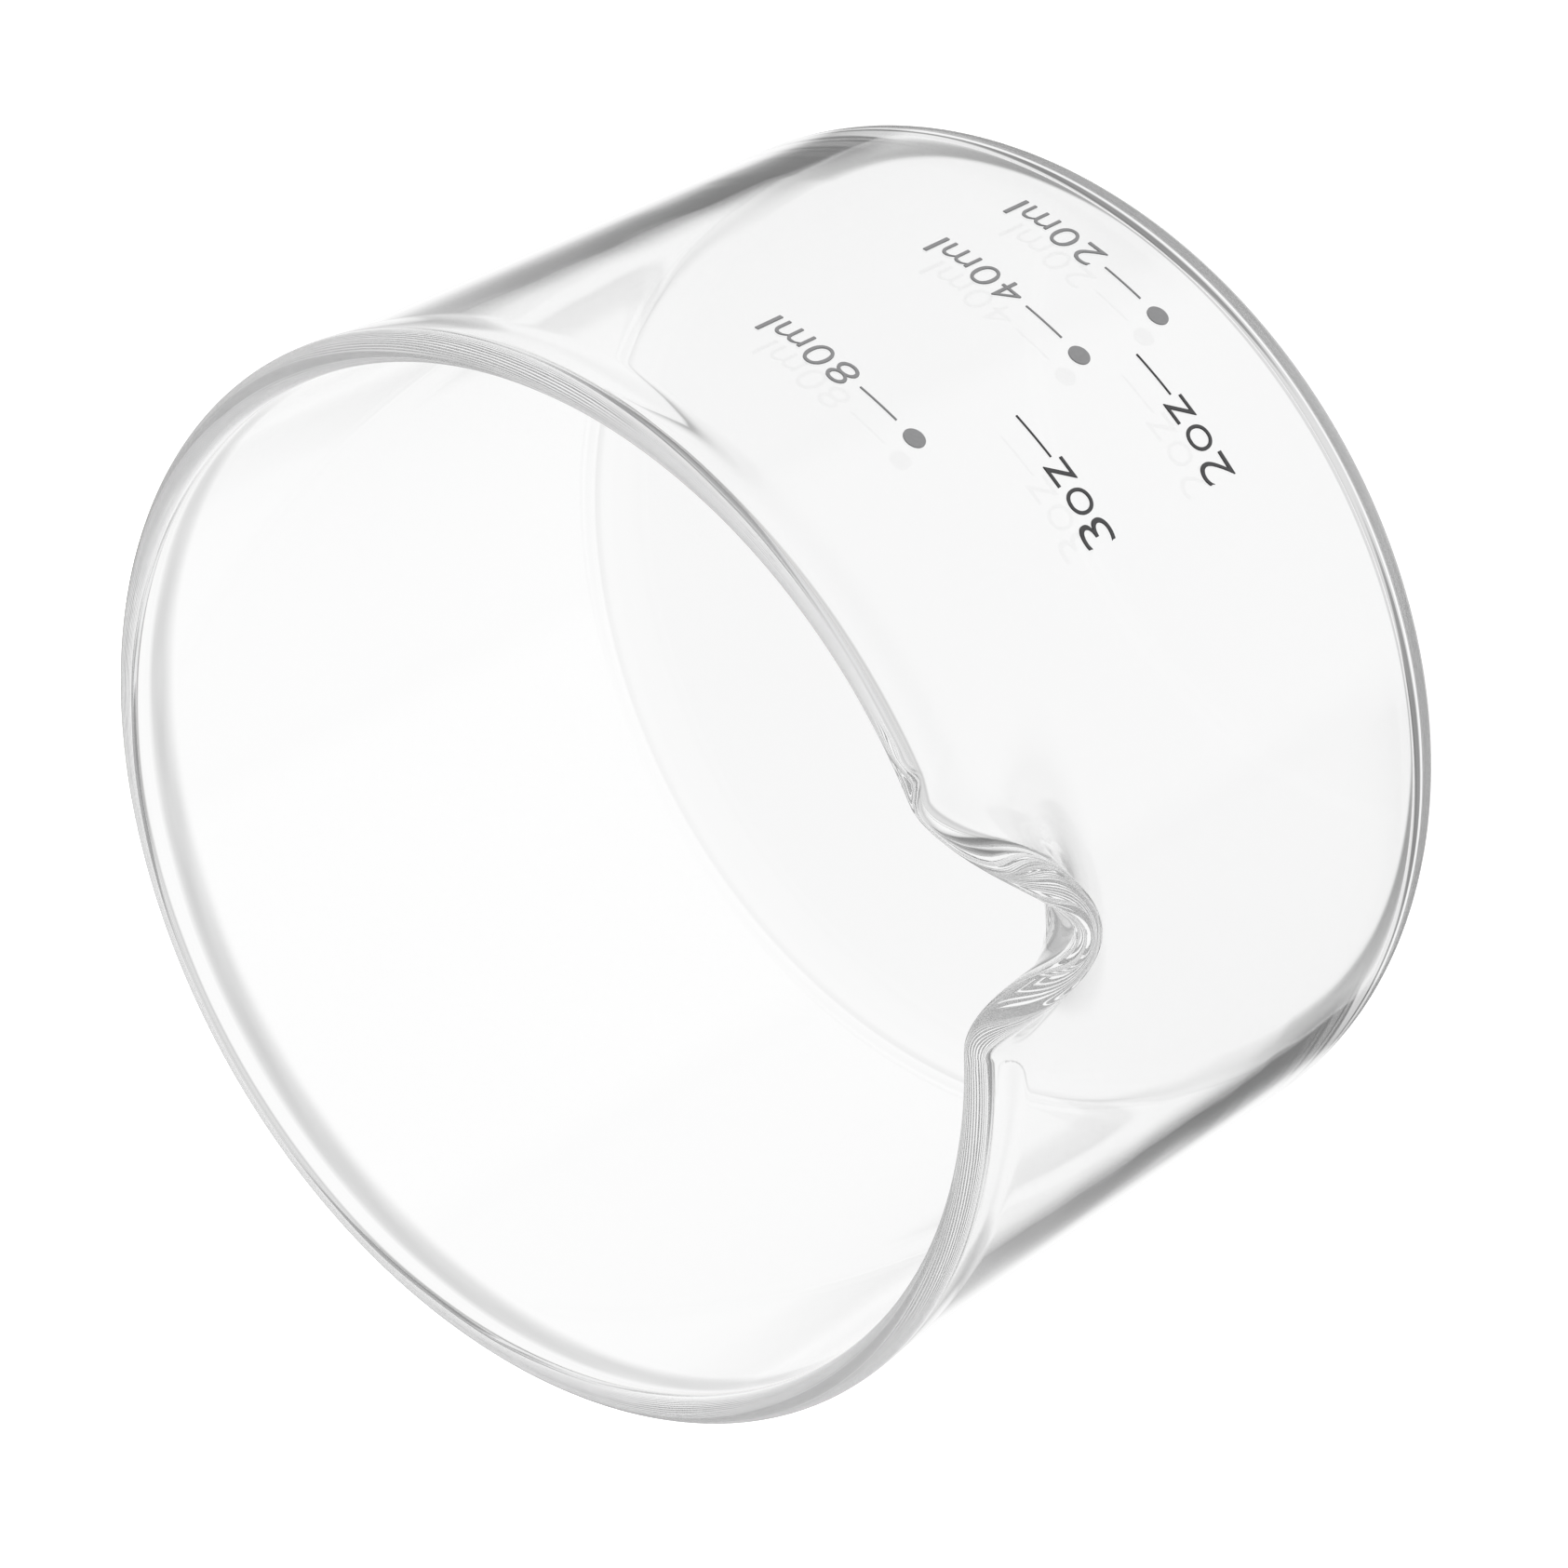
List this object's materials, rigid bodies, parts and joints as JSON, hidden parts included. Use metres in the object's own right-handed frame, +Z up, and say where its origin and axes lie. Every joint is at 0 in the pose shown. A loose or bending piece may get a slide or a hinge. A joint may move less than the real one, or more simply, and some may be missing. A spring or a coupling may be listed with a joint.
{
  "type": "spouted measuring dish",
  "caption": "Small flat-based dish of clear borosilicate glass with a pouring spout and a printed millilitre and ounce scale.",
  "frame": {"origin": "centre of the flat base, on the axis of the round wall", "axes": "+Z up the axis to the mouth, +X out along the pouring spout, +Y a quarter turn anticlockwise from it seen from above"},
  "size_m": [0.0706, 0.064, 0.0424],
  "materials": {
    "clear_glass": "clear, colourless, fire-polished",
    "grey_enamel": "dark grey fired-on enamel print, satin"
  },
  "bodies": {
    "root": {"glass_vessel": "clear_glass", "print_20ml_dot": "grey_enamel", "print_20ml_line": "grey_enamel", "print_20ml_2": "grey_enamel", "print_20ml_0": "grey_enamel", "print_20ml_m": "grey_enamel", "print_20ml_l": "grey_enamel", "print_40ml_dot": "grey_enamel", "print_40ml_line": "grey_enamel", "print_40ml_4": "grey_enamel", "print_40ml_0": "grey_enamel", "print_40ml_m": "grey_enamel", "print_40ml_l": "grey_enamel", "print_80ml_dot": "grey_enamel", "print_80ml_line": "grey_enamel", "print_80ml_8": "grey_enamel", "print_80ml_0": "grey_enamel", "print_80ml_m": "grey_enamel", "print_80ml_l": "grey_enamel", "print_2oz_line": "grey_enamel", "print_2oz_2": "grey_enamel", "print_2oz_o": "grey_enamel", "print_2oz_z": "grey_enamel", "print_3oz_line": "grey_enamel", "print_3oz_3": "grey_enamel", "print_3oz_o": "grey_enamel", "print_3oz_z": "grey_enamel"}
  },
  "joints": []
}
